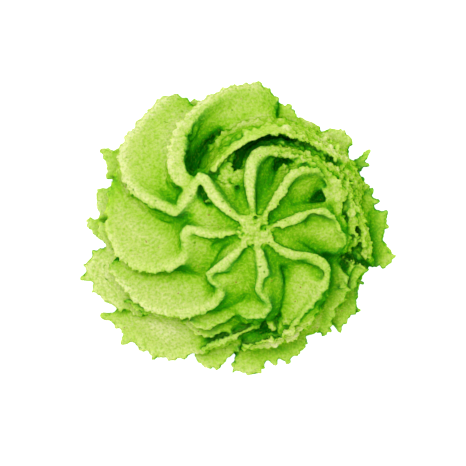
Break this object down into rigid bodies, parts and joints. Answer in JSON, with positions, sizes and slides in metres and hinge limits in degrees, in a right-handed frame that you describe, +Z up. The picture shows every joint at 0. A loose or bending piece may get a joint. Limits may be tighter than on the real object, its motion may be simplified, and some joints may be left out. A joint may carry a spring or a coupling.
{
  "type": "piped wasabi paste rosette",
  "caption": "Rosette of green wasabi paste piped from a star nozzle: a star of ridges at the top winding down into overlapping torn petals on a flat base.",
  "frame": {"origin": "middle of the footprint, on the plate that the rosette rests on", "axes": "+Z up through the top of the swirl, +Y towards the top of the view from above, +X to its right"},
  "size_m": [0.036, 0.0334, 0.0168],
  "materials": {
    "wasabi_paste": "soft moist grainy paste"
  },
  "bodies": {
    "root": {"wasabi_rosette": "wasabi_paste"}
  },
  "joints": []
}
